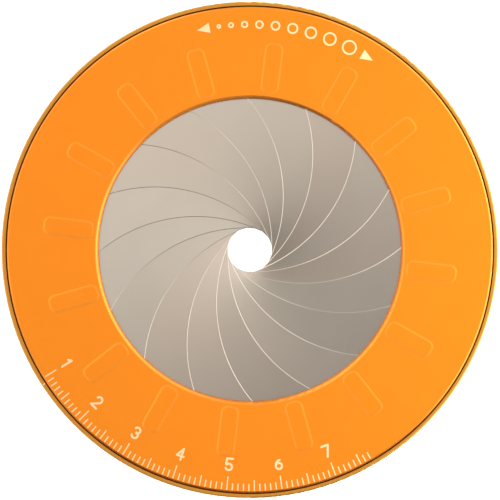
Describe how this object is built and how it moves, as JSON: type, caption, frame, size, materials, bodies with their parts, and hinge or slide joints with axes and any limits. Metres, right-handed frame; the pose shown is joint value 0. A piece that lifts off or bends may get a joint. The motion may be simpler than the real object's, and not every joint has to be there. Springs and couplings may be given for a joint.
{
  "type": "circle template",
  "caption": "Round iris drawing template: turning the dial opens or closes a ring of thin curved leaves, whose round aperture guides a pen along circles of any size in its range.",
  "frame": {"origin": "on the axis of the aperture, in the plane of the flat underside", "axes": "+Z up out of the dial; +X right and +Y up as the template is read, with the scale along the lower edge"},
  "size_m": [0.126, 0.126, 0.0065],
  "materials": {
    "orange_anodised": "fine bead-blasted, orange anodised, satin",
    "leaf_steel": "finely brushed spring-steel sheet",
    "pin_steel": "turned and riveted, satin",
    "spring_wire": "drawn phosphor-bronze spring wire",
    "cream_print": "thin matt cream print"
  },
  "bodies": {
    "housing": {"housing": "orange_anodised", "retaining_ring": "spring_wire", "index_mark": "cream_print"},
    "dial": {"dial": "orange_anodised", "scale_ticks": "cream_print", "scale_numerals": "cream_print", "opening_symbols": "cream_print"},
    "leaf_01": {"leaf_01": "leaf_steel", "pivot_pin_01": "pin_steel", "drive_pin_01": "pin_steel"},
    "leaf_02": {"leaf_02": "leaf_steel", "pivot_pin_02": "pin_steel", "drive_pin_02": "pin_steel"},
    "leaf_03": {"leaf_03": "leaf_steel", "pivot_pin_03": "pin_steel", "drive_pin_03": "pin_steel"},
    "leaf_04": {"leaf_04": "leaf_steel", "pivot_pin_04": "pin_steel", "drive_pin_04": "pin_steel"},
    "leaf_05": {"leaf_05": "leaf_steel", "pivot_pin_05": "pin_steel", "drive_pin_05": "pin_steel"},
    "leaf_06": {"leaf_06": "leaf_steel", "pivot_pin_06": "pin_steel", "drive_pin_06": "pin_steel"},
    "leaf_07": {"leaf_07": "leaf_steel", "pivot_pin_07": "pin_steel", "drive_pin_07": "pin_steel"},
    "leaf_08": {"leaf_08": "leaf_steel", "pivot_pin_08": "pin_steel", "drive_pin_08": "pin_steel"},
    "leaf_09": {"leaf_09": "leaf_steel", "pivot_pin_09": "pin_steel", "drive_pin_09": "pin_steel"},
    "leaf_10": {"leaf_10": "leaf_steel", "pivot_pin_10": "pin_steel", "drive_pin_10": "pin_steel"},
    "leaf_11": {"leaf_11": "leaf_steel", "pivot_pin_11": "pin_steel", "drive_pin_11": "pin_steel"},
    "leaf_12": {"leaf_12": "leaf_steel", "pivot_pin_12": "pin_steel", "drive_pin_12": "pin_steel"},
    "leaf_13": {"leaf_13": "leaf_steel", "pivot_pin_13": "pin_steel", "drive_pin_13": "pin_steel"},
    "leaf_14": {"leaf_14": "leaf_steel", "pivot_pin_14": "pin_steel", "drive_pin_14": "pin_steel"},
    "leaf_15": {"leaf_15": "leaf_steel", "pivot_pin_15": "pin_steel", "drive_pin_15": "pin_steel"},
    "leaf_16": {"leaf_16": "leaf_steel", "pivot_pin_16": "pin_steel", "drive_pin_16": "pin_steel"}
  },
  "joints": [
    {"name": "dial_turn", "type": "hinge", "parent": "housing", "child": "dial", "pos_m": [0, 0, 0], "axis": [0, 0, 1], "range_deg": [-87, 1.3]},
    {"name": "leaf_01_swing", "type": "hinge", "parent": "housing", "child": "leaf_01", "pos_m": [-0.03052, -0.02738, 0], "axis": [0, 0, 1], "range_deg": [-47.81, 0.8]},
    {"name": "leaf_02_swing", "type": "hinge", "parent": "housing", "child": "leaf_02", "pos_m": [-0.01772, -0.03698, 0], "axis": [0, 0, 1], "range_deg": [-47.81, 0.8]},
    {"name": "leaf_03_swing", "type": "hinge", "parent": "housing", "child": "leaf_03", "pos_m": [-0.00222, -0.04094, 0], "axis": [0, 0, 1], "range_deg": [-47.81, 0.8]},
    {"name": "leaf_04_swing", "type": "hinge", "parent": "housing", "child": "leaf_04", "pos_m": [0.01362, -0.03867, 0], "axis": [0, 0, 1], "range_deg": [-47.81, 0.8]},
    {"name": "leaf_05_swing", "type": "hinge", "parent": "housing", "child": "leaf_05", "pos_m": [0.02738, -0.03052, 0], "axis": [0, 0, 1], "range_deg": [-47.81, 0.8]},
    {"name": "leaf_06_swing", "type": "hinge", "parent": "housing", "child": "leaf_06", "pos_m": [0.03698, -0.01772, 0], "axis": [0, 0, 1], "range_deg": [-47.81, 0.8]},
    {"name": "leaf_07_swing", "type": "hinge", "parent": "housing", "child": "leaf_07", "pos_m": [0.04094, -0.00222, 0], "axis": [0, 0, 1], "range_deg": [-47.81, 0.8]},
    {"name": "leaf_08_swing", "type": "hinge", "parent": "housing", "child": "leaf_08", "pos_m": [0.03867, 0.01362, 0], "axis": [0, 0, 1], "range_deg": [-47.81, 0.8]},
    {"name": "leaf_09_swing", "type": "hinge", "parent": "housing", "child": "leaf_09", "pos_m": [0.03052, 0.02738, 0], "axis": [0, 0, 1], "range_deg": [-47.81, 0.8]},
    {"name": "leaf_10_swing", "type": "hinge", "parent": "housing", "child": "leaf_10", "pos_m": [0.01772, 0.03698, 0], "axis": [0, 0, 1], "range_deg": [-47.81, 0.8]},
    {"name": "leaf_11_swing", "type": "hinge", "parent": "housing", "child": "leaf_11", "pos_m": [0.00222, 0.04094, 0], "axis": [0, 0, 1], "range_deg": [-47.81, 0.8]},
    {"name": "leaf_12_swing", "type": "hinge", "parent": "housing", "child": "leaf_12", "pos_m": [-0.01362, 0.03867, 0], "axis": [0, 0, 1], "range_deg": [-47.81, 0.8]},
    {"name": "leaf_13_swing", "type": "hinge", "parent": "housing", "child": "leaf_13", "pos_m": [-0.02738, 0.03052, 0], "axis": [0, 0, 1], "range_deg": [-47.81, 0.8]},
    {"name": "leaf_14_swing", "type": "hinge", "parent": "housing", "child": "leaf_14", "pos_m": [-0.03698, 0.01772, 0], "axis": [0, 0, 1], "range_deg": [-47.81, 0.8]},
    {"name": "leaf_15_swing", "type": "hinge", "parent": "housing", "child": "leaf_15", "pos_m": [-0.04094, 0.00222, 0], "axis": [0, 0, 1], "range_deg": [-47.81, 0.8]},
    {"name": "leaf_16_swing", "type": "hinge", "parent": "housing", "child": "leaf_16", "pos_m": [-0.03867, -0.01362, 0], "axis": [0, 0, 1], "range_deg": [-47.81, 0.8]}
  ],
  "couplings": [
    {"joint": "leaf_01_swing", "follows": "dial_turn", "ratio": 0.54729},
    {"joint": "leaf_02_swing", "follows": "dial_turn", "ratio": 0.54729},
    {"joint": "leaf_03_swing", "follows": "dial_turn", "ratio": 0.54729},
    {"joint": "leaf_04_swing", "follows": "dial_turn", "ratio": 0.54729},
    {"joint": "leaf_05_swing", "follows": "dial_turn", "ratio": 0.54729},
    {"joint": "leaf_06_swing", "follows": "dial_turn", "ratio": 0.54729},
    {"joint": "leaf_07_swing", "follows": "dial_turn", "ratio": 0.54729},
    {"joint": "leaf_08_swing", "follows": "dial_turn", "ratio": 0.54729},
    {"joint": "leaf_09_swing", "follows": "dial_turn", "ratio": 0.54729},
    {"joint": "leaf_10_swing", "follows": "dial_turn", "ratio": 0.54729},
    {"joint": "leaf_11_swing", "follows": "dial_turn", "ratio": 0.54729},
    {"joint": "leaf_12_swing", "follows": "dial_turn", "ratio": 0.54729},
    {"joint": "leaf_13_swing", "follows": "dial_turn", "ratio": 0.54729},
    {"joint": "leaf_14_swing", "follows": "dial_turn", "ratio": 0.54729},
    {"joint": "leaf_15_swing", "follows": "dial_turn", "ratio": 0.54729},
    {"joint": "leaf_16_swing", "follows": "dial_turn", "ratio": 0.54729}
  ]
}
